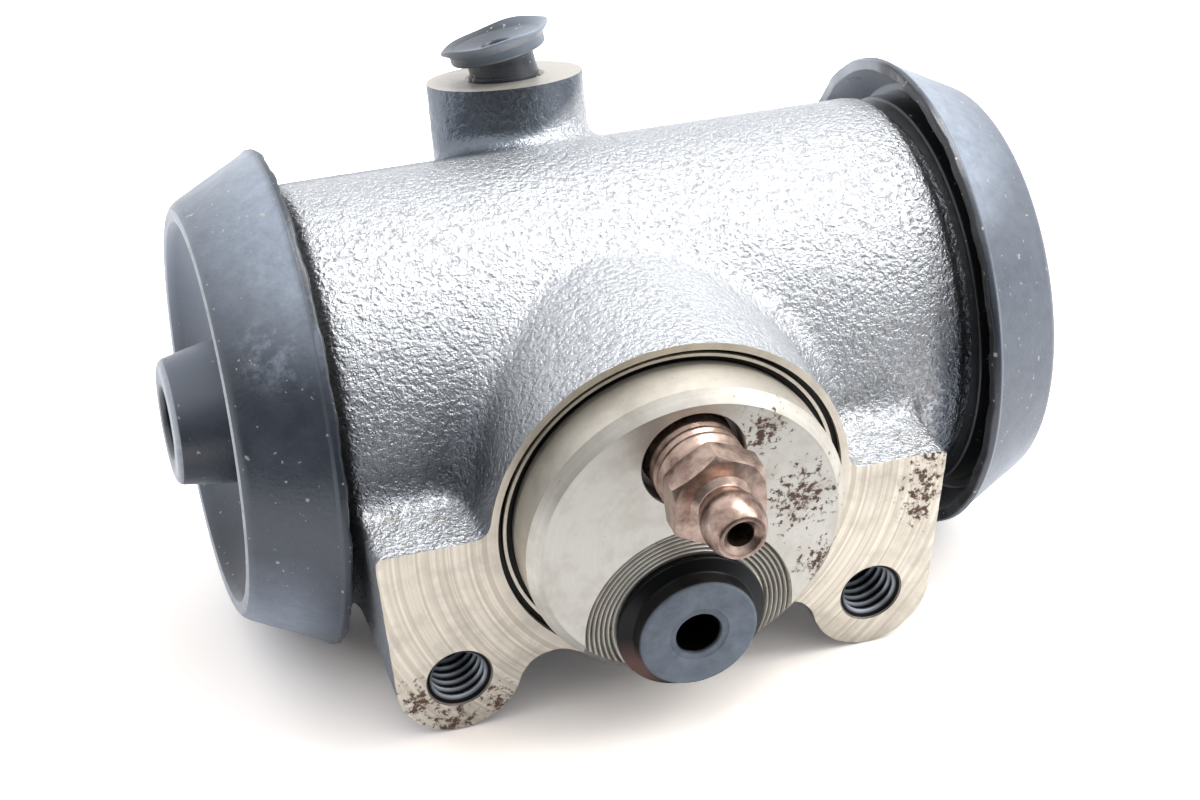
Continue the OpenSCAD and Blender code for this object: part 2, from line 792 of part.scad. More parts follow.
// Crossover plug: a rubber plug with a disc head and a thin flared lip, pressed in askew
module crossover_head(neck_r, root) {
    head_r = head_d / 2;
    head_top = neck_h + head_h;
    lip_top = head_top + lip_h;
    dimple_r = 1.6;
    edge = 0.4;
    rotate_extrude() polygon([[0, -root], [neck_r, -root], [neck_r, neck_h], [head_r - edge, neck_h],
        [head_r, neck_h + edge], [head_r, head_top - lip_wall],
        [head_r + lip_flare, lip_top - lip_wall], [head_r + lip_flare, lip_top],
        [head_r - lip_wall, head_top], [dimple_r + edge, head_top - lip_wall],
        [dimple_r, head_top - lip_wall - edge], [dimple_r, neck_h], [0, neck_h]]);
}

module crossover_plug() {
    stem_r = cross_r - plug_clearance;
    lead = 0.8;
    neck_step = 0.25;
    root_share = 1.6;
    neck_lift = stem_r * sin(head_lean);
    color("#2e3036") on_rear_axis() translate([0, 0, rear_top]) {
        rod(stem_r, -plug_stem + lead, neck_lift / 2);
        taper(stem_r - lead, stem_r, -plug_stem, -plug_stem + lead);
        translate([0, 0, neck_lift]) rotate([0, -head_lean, 0])
            crossover_head(stem_r - neck_step, root_share * neck_lift + hair);
    }
}

cylinder_body();
left_piston();
right_piston();
left_cup();
right_cup();
left_cup_expander();
right_cup_expander();
return_spring();
left_boot();
right_boot();
bleeder_screw();
inlet_plug();
crossover_plug();
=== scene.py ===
# Drum brake wheel cylinder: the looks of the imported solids, in metres and in their frame.
import json
import math

import bpy
from mathutils import Matrix, Vector

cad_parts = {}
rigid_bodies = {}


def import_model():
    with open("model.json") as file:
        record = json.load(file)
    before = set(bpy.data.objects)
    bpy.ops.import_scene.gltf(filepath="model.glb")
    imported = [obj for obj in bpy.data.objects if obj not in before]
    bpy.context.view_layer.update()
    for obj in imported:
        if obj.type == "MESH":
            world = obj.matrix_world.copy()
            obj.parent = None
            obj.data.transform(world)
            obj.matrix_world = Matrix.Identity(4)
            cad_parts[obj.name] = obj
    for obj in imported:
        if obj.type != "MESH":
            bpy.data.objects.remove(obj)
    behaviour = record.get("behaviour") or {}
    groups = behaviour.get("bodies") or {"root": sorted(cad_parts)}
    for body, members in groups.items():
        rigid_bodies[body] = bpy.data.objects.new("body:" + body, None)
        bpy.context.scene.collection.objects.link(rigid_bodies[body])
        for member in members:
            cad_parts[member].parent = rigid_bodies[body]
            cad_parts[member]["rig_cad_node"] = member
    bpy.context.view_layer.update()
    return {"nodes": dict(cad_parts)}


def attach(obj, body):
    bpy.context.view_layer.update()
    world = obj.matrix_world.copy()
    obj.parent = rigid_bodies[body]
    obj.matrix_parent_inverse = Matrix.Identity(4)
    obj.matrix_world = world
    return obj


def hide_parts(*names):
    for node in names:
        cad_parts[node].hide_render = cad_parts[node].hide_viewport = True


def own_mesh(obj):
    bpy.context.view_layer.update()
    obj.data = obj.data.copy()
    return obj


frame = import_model()

# Camera: a 75 mm lens about a third of a metre away, to the left of the pilot's axis and above
# it. Sizes are in millimetres, which mm turns to metres; those of table and lamps are in metres.
mm = 0.001
camera_place = (-84.04, -226.0, 176.09)
camera_leftward = 18.32
camera_upward = 33.73
camera_roll = 0.118
camera_turn = (
    Matrix.Rotation(math.radians(-camera_leftward), 4, "Z")
    @ Matrix.Rotation(math.radians(90 - camera_upward), 4, "X")
    @ Matrix.Rotation(math.radians(camera_roll), 4, "Z")
)
bpy.ops.object.camera_add(
    location=[value * mm for value in camera_place], rotation=camera_turn.to_euler()
)
camera = bpy.context.object
camera.data.sensor_width = 36
camera.data.lens = 74.86
camera.data.clip_start = 0.01
bpy.context.scene.camera = camera
bpy.context.scene.view_settings.view_transform = "Standard"


# Floor and light: a plain white table that the boots' rims and the ears rest on, in a white room
# that is dark in front, with two soft lamps above and on the right. For the camera and through
# glass the table's paint is brighter and the room is plain white, so the shadow lies on white.
def linear(code):
    """Linear colour of an sRGB hex code."""
    parts = [int(code[i : i + 2], 16) / 255 for i in (1, 3, 5)]
    return [p / 12.92 if p <= 0.04045 else ((p + 0.055) / 1.055) ** 2.4 for p in parts] + [1.0]


def entry(node, name):
    """Input of a node, by its number, or by its name among the inputs in use."""
    if isinstance(name, int):
        return node.inputs[name]
    return next((socket for socket in node.inputs if socket.enabled and socket.name == name), None)


def fit(node, settings, links):
    """Sets a node's inputs or properties, and links sockets or other nodes' results into it."""
    for name, value in settings.items():
        if entry(node, name) is None:
            setattr(node, name, value)
        else:
            entry(node, name).default_value = value
    for name, source in links.items():
        if isinstance(source, bpy.types.Node):
            source = next(socket for socket in source.outputs if socket.enabled)
        node.id_data.links.new(source, entry(node, name))
    return node


def add(tree, kind, settings={}, links={}):
    """Adds a shader node with its settings and links."""
    return fit(tree.nodes.new("ShaderNode" + kind), settings, links)


# The part lies tilted on the table, so in its own frame the table falls away to the back.
table_size = 0.9
table_middle = 0.385
table_fall = 0.1155
table_under_pilot = -27.75
shown_white = (1.65, 1.55, 1.44, 1.0)
bpy.ops.mesh.primitive_plane_add(
    size=table_size,
    location=(0, table_middle, table_under_pilot * mm - table_middle * table_fall),
    rotation=(-math.atan(table_fall), 0, 0),
)
table = bpy.context.object
table.name = "table"
white_top = bpy.data.materials.new("white_table_top")
white_top.use_nodes = True
tree = white_top.node_tree
tree.nodes.clear()
path = add(tree, "LightPath")
seen = add(tree, "Math", {"operation": "MAXIMUM"},
           {0: path.outputs["Is Camera Ray"], 1: path.outputs["Is Transmission Ray"]})
shown = add(tree, "Mix", {"data_type": "RGBA", "A": linear("#f2f2f4"), "B": shown_white},
            {"Factor": seen})
paint = add(tree, "BsdfDiffuse", {}, {"Color": shown})
add(tree, "OutputMaterial", {}, {"Surface": paint})
table.data.materials.append(white_top)

world = bpy.data.worlds.new("white_room")
bpy.context.scene.world = world
world.use_nodes = True
tree = world.node_tree
tree.nodes.clear()
path = add(tree, "LightPath")
seen = add(tree, "Math", {"operation": "MAXIMUM"},
           {0: path.outputs["Is Camera Ray"], 1: path.outputs["Is Transmission Ray"]})
ray = add(tree, "TexCoord").outputs["Generated"]
forward = add(tree, "VectorMath", {"operation": "DOT_PRODUCT", 1: (-0.35, -0.9, -0.25)}, {0: ray})
dark_front = add(tree, "MapRange", {"From Min": 0.3, "From Max": 0.68, "To Min": 1.1, "To Max": 0.08},
                 {"Value": forward})
room = add(tree, "Background", {"Color": linear("#f8faff")}, {"Strength": dark_front})
white = add(tree, "Background", {"Color": linear("#ffffff"), "Strength": 1.0})
mixed = add(tree, "MixShader", {}, {0: seen, 1: room, 2: white})
add(tree, "OutputWorld", {}, {"Surface": mixed})

lamp_size = 0.3
lamp_target = Vector((0, 0.03, 0))
for name, place, power in (
    ("top_light", (0.22, 0.14, 0.55), 2.4),
    ("right_light", (0.50, -0.08, 0.40), 1.2),
):
    bpy.ops.object.light_add(type="AREA", location=place)
    lamp = bpy.context.object
    lamp.name = name
    lamp.data.energy = power
    lamp.data.shape = "SQUARE"
    lamp.data.size = lamp_size
    lamp.rotation_euler = (lamp_target - Vector(place)).to_track_quat("-Z", "Y").to_euler()


# Casting: one piece of grey iron, poured in sand. Barrel, front boss, ears and rear boss come
# from the mould with a pebbled skin and soft edges, and are made here with stock on every face
# that is machined later.
casting_voxel = 0.62
front_stock = 2.5
rear_stock = 1.5
bore_x = 3.3
bore_y = 37.2
bleeder_z = 11.1
inlet_z = -12
tap_x = 27
tap_z = -19.7
rear_lean = math.radians(17)
rear_axis = Vector((0, math.sin(rear_lean), math.cos(rear_lean)))
rear_foot = Vector((-2.5, 52.2, 0))
rear_top = 29.9
into_face = Matrix.Rotation(math.radians(-90), 4, "X")
on_bore = Matrix.Translation((bore_x * mm, bore_y * mm, 0))
right_end = on_bore @ Matrix.Rotation(math.radians(90), 4, "Y")
on_rear = Matrix.Translation(rear_foot * mm) @ Matrix.Rotation(-rear_lean, 4, "X")


def rod(r, start, end, place):
    """Adds a closed cylinder to the mesh in edit mode, from one height to another on an axis, in mm."""
    where = place @ Matrix.Translation((0, 0, (start + end) / 2 * mm))
    bpy.ops.mesh.primitive_cylinder_add(
        vertices=64, radius=r * mm, depth=(end - start) * mm,
        location=where.translation, rotation=where.to_euler(),
    )


def use(piece):
    """Makes a piece the only selected and active one."""
    bpy.ops.object.select_all(action="DESELECT")
    piece.select_set(True)
    bpy.context.view_layer.objects.active = piece


def apply(piece, kind, **settings):
    """Adds a modifier with its settings and applies it."""
    use(piece)
    modifier = piece.modifiers.new(kind.lower(), kind)
    for name, value in settings.items():
        setattr(modifier, name, value)
    bpy.ops.object.modifier_apply(modifier=modifier.name)


use(frame["nodes"]["cylinder_body"])
bpy.ops.object.duplicate()
casting = bpy.context.object
casting.name = "cast_body"
del casting["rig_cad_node"]
bpy.ops.object.parent_clear(type="CLEAR_KEEP_TRANSFORM")
casting.data.materials.clear()
bpy.ops.object.mode_set(mode="EDIT")
bpy.ops.mesh.select_mode(type="FACE")
bpy.ops.mesh.select_all(action="SELECT")
bpy.ops.mesh.remove_doubles(threshold=0.002 * mm)
for direction, foot, height, stock in (
    (Vector((0, -1, 0)), Vector(), 0, front_stock),
    (rear_axis, rear_foot, rear_top, rear_stock),
):
    bpy.ops.mesh.select_all(action="DESELECT")
    bpy.ops.object.mode_set(mode="OBJECT")
    for face in casting.data.polygons:
        lift = (face.center / mm - foot).dot(direction) - height
        face.select = face.normal.dot(direction) > 0.999 and abs(lift) < 0.05
    bpy.ops.object.mode_set(mode="EDIT")
    bpy.ops.mesh.extrude_region_move(TRANSFORM_OT_translate={"value": direction * stock * mm})
# The bore, the groove and the holes of the solid are filled, because the mould has none of them.
rod(22, -45.6, 45.6, right_end)
rod(22.2, -8.2, 3, into_face)
for x, z, r, end in (
    (0, bleeder_z, 6.8, 20), (0, inlet_z, 7.2, 20), (tap_x, tap_z, 4.6, 19), (-tap_x, tap_z, 4.6, 19),
):
    rod(r, -2.4, end, Matrix.Translation((x * mm, 0, z * mm)) @ into_face)
rod(5.4, 12, rear_top + 1.4, on_rear)
rod(2.6, 2, 13, on_rear)
bpy.ops.mesh.select_mode(type="VERT")
bpy.ops.object.mode_set(mode="OBJECT")
apply(casting, "REMESH", mode="VOXEL", voxel_size=casting_voxel * mm)
apply(casting, "SMOOTH", factor=0.5, iterations=6)
shoulder = casting.vertex_groups.new(name="shoulder")
for vertex in casting.data.vertices:
    along = abs(vertex.co.x / mm - bore_x)
    across = math.hypot(vertex.co.y / mm - bore_y, vertex.co.z / mm)
    if 36.5 < along < 42 and across > 24.8:
        shoulder.add([vertex.index], 1.0, "REPLACE")
apply(casting, "SMOOTH", factor=0.5, iterations=4, vertex_group="shoulder")
lumps = bpy.data.textures.new("sand_lumps", "CLOUDS")
lumps.noise_scale = 1.7 * mm
lumps.noise_depth = 2
apply(casting, "DISPLACE", texture=lumps, texture_coords="LOCAL", strength=0.2 * mm, mid_level=1.0)

# As-cast iron: silvery grey, with the sand's grains of about half a millimetre, small dark pits
# a millimetre apart, and tan stains towards the underside. It is smoother on the rear boss. Painted
# shade darkens the rear boss, the lower left, the left flank of the front boss and the foot of the
# right end.
cast_skin = bpy.data.materials.new("as_cast_iron")
cast_skin.use_nodes = True
tree = cast_skin.node_tree
shader = tree.nodes["Principled BSDF"]
coordinates = add(tree, "TexCoord")
here = coordinates.outputs["Object"]
grain = add(tree, "TexNoise", {"Scale": 1 / (0.45 * mm), "Detail": 3.0, "Roughness": 0.5},
            {"Vector": here})
hollow = add(tree, "TexNoise", {"Scale": 1 / (0.75 * mm), "Detail": 3.0, "Roughness": 0.6},
             {"Vector": here})
pit = add(tree, "MapRange", {"From Min": 0.22, "From Max": 0.55}, {"Value": hollow})
relief = add(tree, "Math", {"operation": "MULTIPLY_ADD", 1: 0.9}, {0: grain, 2: pit})
bright = add(tree, "MapRange", {"From Min": 0.35, "From Max": 0.65}, {"Value": grain})
iron = add(tree, "Mix", {"data_type": "RGBA", "A": linear("#c2c4c6"), "B": linear("#d9dadc")},
           {"Factor": bright})
pitted = add(tree, "Mix", {"data_type": "RGBA", "A": linear("#b0b2b4")}, {"Factor": pit, "B": iron})
height = add(tree, "SeparateXYZ", {}, {"Vector": here})
low = add(tree, "MapRange", {"From Min": 16 * mm, "From Max": -8 * mm, "To Min": 0.1, "To Max": 0.75},
          {"Value": height.outputs["Z"]})
stain = add(tree, "TexNoise", {"Scale": 1 / (1.4 * mm), "Detail": 5.0, "Roughness": 0.7},
            {"Vector": here})
stained = add(tree, "MapRange", {"From Min": 0.54, "From Max": 0.66}, {"Value": stain})
stained = add(tree, "Math", {"operation": "MULTIPLY"}, {0: stained, 1: low})
colour = add(tree, "Mix", {"data_type": "RGBA", "B": linear("#a3957c")},
             {"Factor": stained, "A": pitted})
gloss = add(tree, "MapRange", {"From Min": 0.3, "From Max": 0.7, "To Min": 0.4, "To Max": 0.26},
            {"Value": grain})
# Painted shade: the rear boss is painted darker, as a reflection of the dark front of the room; the
# same mask also smooths its bump.
rear = add(tree, "MapRange", {"From Min": 46 * mm, "From Max": 49 * mm}, {"Value": height.outputs["Y"]})
slope = add(tree, "Math", {"operation": "MULTIPLY_ADD", 1: -0.45},
            {0: height.outputs["X"], 2: height.outputs["Z"]})
above = add(tree, "MapRange", {"From Min": 24 * mm, "From Max": 27 * mm}, {"Value": slope})
on_boss = add(tree, "Math", {"operation": "MULTIPLY"}, {0: above, 1: rear})
# Painted shade: darker on the lower left and on the left flank of the front boss, where the boot and
# the dark front are reflected, but not on faces that look up.
lower = add(tree, "MapRange", {"From Min": 20 * mm, "From Max": 4 * mm}, {"Value": height.outputs["Z"]})
facing = add(tree, "SeparateXYZ", {}, {"Vector": coordinates.outputs["Normal"]})
steep = add(tree, "MapRange", {"From Min": 0.9, "From Max": 0.72}, {"Value": facing.outputs["Z"]})
leftward = add(tree, "MapRange", {"From Min": 4 * mm, "From Max": -14 * mm, "To Max": 0.55},
               {"Value": height.outputs["X"]})
left_painted_shade = add(tree, "Math", {"operation": "MULTIPLY"}, {0: lower, 1: leftward})
flank = add(tree, "VectorMath", {"operation": "DISTANCE", 1: (-21 * mm, 10 * mm, 4 * mm)}, {0: here})
flank = add(tree, "MapRange", {"From Min": 14 * mm, "From Max": 5 * mm, "To Max": 0.75},
            {"Value": flank})
left_painted_shade = add(tree, "Math", {"operation": "MAXIMUM"}, {0: left_painted_shade, 1: flank})
left_painted_shade = add(tree, "Math", {"operation": "MULTIPLY"}, {0: left_painted_shade, 1: steep})
dim = add(tree, "Math", {"operation": "MAXIMUM"}, {0: on_boss, 1: left_painted_shade})
# Painted shade at the foot of the right end, where the boot's black is reflected.
end = add(tree, "MapRange", {"From Min": 38.2 * mm, "From Max": 40.2 * mm, "To Max": 0.9},
          {"Value": height.outputs["X"]})
end_low = add(tree, "MapRange", {"From Min": 16 * mm, "From Max": 6 * mm},
              {"Value": height.outputs["Z"]})
end = add(tree, "Math", {"operation": "MULTIPLY"}, {0: end, 1: end_low})
dim = add(tree, "Math", {"operation": "MAXIMUM"}, {0: dim, 1: end})
# All the painted shade above mixes in a darker grey.
shade = add(tree, "Mix", {"data_type": "RGBA", "B": linear("#787e86")}, {"Factor": dim, "A": colour})
smooth = add(tree, "MapRange", {"To Min": 1.0, "To Max": 0.35}, {"Value": on_boss})
bump = add(tree, "Bump", {"Distance": 0.2 * mm}, {"Strength": smooth, "Height": relief})
fit(shader, {"Metallic": 0.9}, {"Base Color": shade, "Roughness": gloss, "Normal": bump})
casting.data.materials.append(cast_skin)


# Machined faces of the casting: pilot, its relief groove and both ears are faced in one setting
# on a lathe, so their tool marks are rings about the pilot. The bore, ports and tapped holes
# are bored, drilled and tapped. Each tool is a turned solid that is cut out of the casting.
def turned(name, outline, steps, place):
    """Draws an outline of radius and height in mm and spins it into a closed solid on an axis."""
    bpy.ops.object.select_all(action="DESELECT")
    bpy.ops.mesh.primitive_plane_add(size=mm)
    piece = bpy.context.object
    piece.name = name
    bpy.ops.object.mode_set(mode="EDIT")
    bpy.ops.mesh.merge(type="CENTER")
    bpy.ops.transform.translate(value=(outline[0][0] * mm, 0, outline[0][1] * mm))
    for before, after in zip(outline, outline[1:]):
        step = ((after[0] - before[0]) * mm, 0, (after[1] - before[1]) * mm)
        bpy.ops.mesh.extrude_vertices_move(TRANSFORM_OT_translate={"value": step})
    bpy.ops.mesh.select_all(action="SELECT")
    bpy.ops.mesh.spin(steps=steps, angle=math.tau, center=(0, 0, 0), axis=(0, 0, 1))
    bpy.ops.mesh.select_all(action="SELECT")
    bpy.ops.mesh.remove_doubles(threshold=0.001 * mm)
    bpy.ops.mesh.normals_make_consistent(inside=False)
    bpy.ops.object.mode_set(mode="OBJECT")
    piece.matrix_world = place
    bpy.ops.object.transform_apply()
    return piece


def join(pieces):
    """Joins pieces into the first of them."""
    use(pieces[0])
    for piece in pieces[1:]:
        piece.select_set(True)
    bpy.ops.object.join()
    return pieces[0]


def cut(piece, tool, operation="DIFFERENCE"):
    """Takes a tool out of a piece, or adds it, and removes the tool."""
    how = {"operation": operation, "solver": "MANIFOLD", "material_mode": "TRANSFER"}
    apply(piece, "BOOLEAN", object=tool, **how)
    bpy.data.objects.remove(tool)


def weld(piece):
    """Merges corners that the cuts have left less than a micrometre apart."""
    use(piece)
    bpy.ops.object.mode_set(mode="EDIT")
    bpy.ops.mesh.select_all(action="SELECT")
    bpy.ops.mesh.remove_doubles(threshold=0.001 * mm)
    bpy.ops.object.mode_set(mode="OBJECT")


# Turned iron: warm grey, with rings of the facing tool half a millimetre to two apart on the ears
# and few on the pilot, dull clouds, painted shade that turns the groove bottoms black, and brown
# rust that has started on the right of the pilot and at the outer ends of the ears.
pilot_face = -6.65
turned_iron = bpy.data.materials.new("turned_iron")
turned_iron.use_nodes = True
tree = turned_iron.node_tree
shader = tree.nodes["Principled BSDF"]
here = add(tree, "TexCoord").outputs["Object"]
flat = add(tree, "VectorMath", {"operation": "MULTIPLY", 1: (1, 0, 1)}, {0: here})
radius = add(tree, "VectorMath", {"operation": "LENGTH"}, {0: flat})
rings = add(tree, "TexNoise",
            {"noise_dimensions": "1D", "Scale": 1 / (0.7 * mm), "Detail": 3.0, "Roughness": 0.7},
            {"W": radius})
cloud = add(tree, "TexNoise", {"Scale": 1 / (5 * mm), "Detail": 5.0, "Roughness": 0.65},
            {"Vector": here})
outside = add(tree, "MapRange",
              {"From Min": 18 * mm, "From Max": 23 * mm, "To Min": 0.1, "To Max": 1.0},
              {"Value": radius})
ring_tone = add(tree, "MapRange", {"From Min": 0.32, "From Max": 0.68}, {"Value": rings})
ringed = add(tree, "Mix", {"data_type": "RGBA", "A": linear("#d9cdba"), "B": linear("#fcf3e2")},
             {"Factor": ring_tone})
bare = add(tree, "Mix", {"data_type": "RGBA", "A": linear("#d8d5cc")}, {"Factor": outside, "B": ringed})
dull = add(tree, "MapRange", {"From Min": 0.45, "From Max": 0.75, "To Max": 0.7}, {"Value": cloud})
faced = add(tree, "Mix", {"data_type": "RGBA", "B": linear("#bab1a1")}, {"Factor": dull, "A": bare})
near = None
for x, y, z, reach in (
    (33, 0, -2.6, 5), (32.8, 0, -5.4, 6), (32.4, 0, -8, 4.5), (34, 0, 1, 6),
    (13.5, pilot_face, 3, 9), (16.6, pilot_face, -7, 6), (8.5, pilot_face, 13.5, 6),
    (-28, 0, -26.5, 7), (-32, 0, -22, 6), (-22, 0, -24.5, 5),
):
    gap = add(tree, "VectorMath", {"operation": "DISTANCE", 1: (x * mm, y * mm, z * mm)}, {0: here})
    weight = add(tree, "MapRange",
                 {"From Min": 0.0, "From Max": reach * mm, "To Min": 1.0, "To Max": 0.0},
                 {"Value": gap})
    if near:
        weight = add(tree, "Math", {"operation": "MAXIMUM"}, {0: near, 1: weight})
    near = weight
speck = add(tree, "TexNoise", {"Scale": 1 / (0.95 * mm), "Detail": 6.0, "Roughness": 0.68},
            {"Vector": here})
raised = add(tree, "Math", {"operation": "MULTIPLY_ADD", 1: 0.24}, {0: near, 2: speck})
rust = add(tree, "MapRange", {"From Min": 0.665, "From Max": 0.735}, {"Value": raised})
brown = add(tree, "Mix", {"data_type": "RGBA", "A": linear("#4a332c"), "B": linear("#80604f")},
            {"Factor": cloud})
rusty = add(tree, "Mix", {"data_type": "RGBA"}, {"Factor": rust, "A": faced, "B": brown})
place = add(tree, "SeparateXYZ", {}, {"Vector": here})
# Painted shade: the floor of the relief groove and the roots of the washer seat's grooves are painted
# near black.
relief_painted_shade = add(tree, "MapRange", {"From Min": 0.6 * mm, "From Max": 1.0 * mm},
                  {"Value": place.outputs["Y"]})
from_inlet = add(tree, "VectorMath", {"operation": "DISTANCE", 1: (0, 0, inlet_z * mm)}, {0: flat})
on_seat = add(tree, "Math", {"operation": "LESS_THAN", 1: 13.25 * mm}, {0: from_inlet})
seat_painted_shade = add(tree, "MapRange", {"From Min": -6.32 * mm, "From Max": -6.05 * mm, "To Max": 0.55},
                {"Value": place.outputs["Y"]})
seat_painted_shade = add(tree, "Math", {"operation": "MULTIPLY"}, {0: seat_painted_shade, 1: on_seat})
painted_groove_shade = add(tree, "Math", {"operation": "MAXIMUM"}, {0: relief_painted_shade, 1: seat_painted_shade})
colour = add(tree, "Mix", {"data_type": "RGBA", "B": linear("#2b2927")}, {"Factor": painted_groove_shade, "A": rusty})
metal = add(tree, "MapRange", {"To Min": 0.85, "To Max": 0.0}, {"Value": rust})
gloss = add(tree, "MapRange", {"To Min": 0.46, "To Max": 0.8}, {"Value": rust})
bump = add(tree, "Bump", {"Strength": 0.35, "Distance": 0.03 * mm}, {"Height": rings})
fit(shader, {}, {"Base Color": colour, "Metallic": metal, "Roughness": gloss, "Normal": bump})

# Drilled iron: darker grey and a little oily in the holes. The crests of the tapped threads are
# bright over roots painted dark as shade, and the faced top of the rear boss is pale.
drilled_iron = bpy.data.materials.new("drilled_iron")
drilled_iron.use_nodes = True
tree = drilled_iron.node_tree
shader = tree.nodes["Principled BSDF"]
here = add(tree, "TexCoord").outputs["Object"]
film = add(tree, "TexNoise", {"Scale": 1 / (1.5 * mm), "Detail": 4.0}, {"Vector": here})
drilled = add(tree, "Mix", {"data_type": "RGBA", "A": linear("#5c5650"), "B": linear("#a59e97")},
              {"Factor": film})
folded = add(tree, "VectorMath", {"operation": "ABSOLUTE"}, {0: here})
in_plane = add(tree, "VectorMath", {"operation": "MULTIPLY", 1: (1, 0, 1)}, {0: folded})
from_tap = add(tree, "VectorMath", {"operation": "DISTANCE", 1: (tap_x * mm, 0, -tap_z * mm)},
               {0: in_plane})
in_tap = add(tree, "Math", {"operation": "LESS_THAN", 1: 4.0 * mm}, {0: from_tap})
# Painted shade: the roots of the tapped threads are painted near black.
root = add(tree, "MapRange", {"From Min": 3.4 * mm, "From Max": 3.7 * mm}, {"Value": from_tap})
thread = add(tree, "Mix", {"data_type": "RGBA", "A": linear("#b6bcc3"), "B": linear("#14120f")},
             {"Factor": root})
colour = add(tree, "Mix", {"data_type": "RGBA"}, {"Factor": in_tap, "A": drilled, "B": thread})
height = add(tree, "SeparateXYZ", {}, {"Vector": here})
on_top = add(tree, "MapRange", {"From Min": 25 * mm, "From Max": 26.5 * mm},
             {"Value": height.outputs["Z"]})
colour = add(tree, "Mix", {"data_type": "RGBA", "B": linear("#d9d3c8")},
             {"Factor": on_top, "A": colour})
gloss = add(tree, "MapRange", {"To Min": 0.3, "To Max": 0.55}, {"Value": film})
fit(shader, {"Metallic": 0.8}, {"Base Color": colour, "Roughness": gloss})

facing = turned("facing_tool", [
    (0, pilot_face), (18.55, pilot_face), (19.95, -5.25), (19.95, -0.4), (19.95, 0), (62, 0),
    (62, -14), (0, -14),
], 160, into_face)
facing.data.materials.append(turned_iron)
boring = turned("boring_bar", [
    (0, -48), (22.55, -48), (20.65, -45.3), (20.65, 45.3), (22.55, 48), (0, 48),
], 96, right_end)
boring.data.materials.append(drilled_iron)
rear_facing = turned("rear_facing_tool", [
    (0, rear_top), (14, rear_top), (14, rear_top + 5), (0, rear_top + 5),
], 48, on_rear)
rear_facing.data.materials.append(drilled_iron)
cut(casting, join([facing, boring, rear_facing]))
grooving = turned("grooving_tool", [
    (19.8, -0.3), (19.8, 1.2), (20.5, 1.2), (20.6, 0.5), (21.0, 0.5), (21.1, 1.2), (21.75, 1.2),
    (21.75, -0.3), (19.8, -0.3),
], 160, into_face)
grooving.data.materials.append(turned_iron)
cut(casting, grooving)

tap_pitch = 1.41
tap_turns = 9
tap = [(0, -4), (4.2, -4), (4.2, 0), (3.3, 0.9)]
for turn in range(tap_turns):
    foot = 0.9 + turn * tap_pitch
    tap += [(3.3, foot + 0.2), (3.95, foot + 0.72), (3.95, foot + 0.9), (3.3, foot + tap_pitch)]
tap += [(3.3, 15), (0, 17)]
bleeder_drill = [
    (0, -9), (6.5, -9), (6.5, -6.7), (6.25, -6.45), (6.25, -4.05), (5.65, -4.05), (5.65, 8.95),
    (1.6, 13), (1.6, 22), (0, 22),
]
seat_radius = 13.2
seat_grooves = 6
groove_pitch = 0.6
seat_tool = [(0, -9), (seat_radius, -9), (seat_radius, -6.35)]
for groove in range(seat_grooves):
    outer = seat_radius - groove * groove_pitch
    seat_tool += [(outer - 0.06, -6.35), (outer - 0.33, -5.95), (outer - groove_pitch, -6.35)]
seat_tool += [(7.1, -6.35), (6.5, -5.75), (6.5, 5.35), (2, 9.25), (2, 22), (0, 22)]
tools = []
for name, outline, x, z, steps, metal in (
    ("left_tap", tap, -tap_x, tap_z, 48, drilled_iron),
    ("right_tap", tap, tap_x, tap_z, 48, drilled_iron),
    ("bleeder_drill", bleeder_drill, 0, bleeder_z, 64, drilled_iron),
    ("inlet_seat_tool", seat_tool, 0, inlet_z, 128, turned_iron),
):
    tool = turned(name, outline, steps, Matrix.Translation((x * mm, 0, z * mm)) @ into_face)
    tool.data.materials.append(metal)
    tools.append(tool)
rear_drill = turned("rear_drill", [
    (0, 6), (2, 6), (2, rear_top - 14.9), (4.9, rear_top - 12), (4.9, rear_top - 0.5),
    (5.9, rear_top + 0.5), (0, rear_top + 0.5),
], 64, on_rear)
rear_drill.data.materials.append(drilled_iron)
cut(casting, join(tools + [rear_drill]))
weld(casting)
bpy.ops.object.shade_smooth_by_angle(angle=math.radians(38))
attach(casting, "cylinder")
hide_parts("cylinder_body")


# Boots: moulded black rubber, pushed over the turned spigots. A thin flared skirt hangs clear
# of the barrel, and a deep rounded trough runs round a thick tube for the push rod.
def rounded(corners, steps=5):
    """Outline through corners of radius, height and rounding, in mm, with an arc at each rounding."""
    line = []
    for i, (x, y, rounding) in enumerate(corners):
        corner = Vector((x, y))
        if not rounding:
            line.append(corner)
            continue
        back = (Vector(corners[i - 1][:2]) - corner).normalized()
        on = (Vector(corners[i + 1][:2]) - corner).normalized()
        half = back.angle(on) / 2
        middle = corner + (back + on).normalized() * rounding / math.sin(half)
        start = corner + back * rounding / math.tan(half) - middle
        end = corner + on * rounding / math.tan(half) - middle
        line += [middle + start.lerp(end, k / steps).normalized() * rounding for k in range(steps + 1)]
    return line


def arc(x, y, radius, start, end, steps):
    """Points of an arc about a centre in mm, between two angles in degrees."""
    angles = [math.radians(start + (end - start) * k / steps) for k in range(steps + 1)]
    return [(x + radius * math.cos(a), y + radius * math.sin(a), 0) for a in angles]


